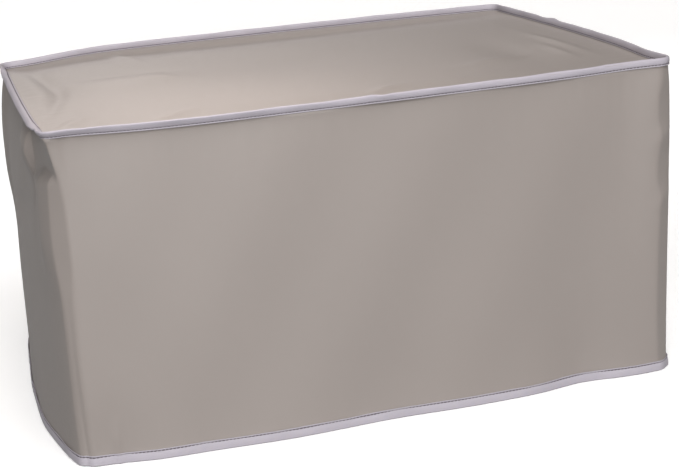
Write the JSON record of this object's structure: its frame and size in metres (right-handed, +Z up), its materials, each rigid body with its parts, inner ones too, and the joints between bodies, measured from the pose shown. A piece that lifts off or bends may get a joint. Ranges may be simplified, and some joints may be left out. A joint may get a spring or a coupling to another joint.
{
  "type": "toaster oven cover",
  "caption": "Fitted cloth cover that drops over a counter-top toaster oven: a flat top and a wrap-round side wall, joined by a standing seam in pale tape, with taped hem.",
  "frame": {"origin": "middle of the cover's footprint, on the surface that its hem reaches", "axes": "+X to the cover's right as seen from its front, +Y from front to back, +Z up; the long front wall faces -Y"},
  "size_m": [0.537, 0.4058, 0.2728],
  "materials": {
    "cover_cloth": "smooth coated cloth with a satin sheen, taupe grey",
    "binding_tape": "plain woven bias tape, pale lavender grey, with stitching"
  },
  "bodies": {
    "root": {"top_panel": "cover_cloth", "side_wall": "cover_cloth", "top_binding": "binding_tape", "hem_binding": "binding_tape"}
  },
  "joints": []
}
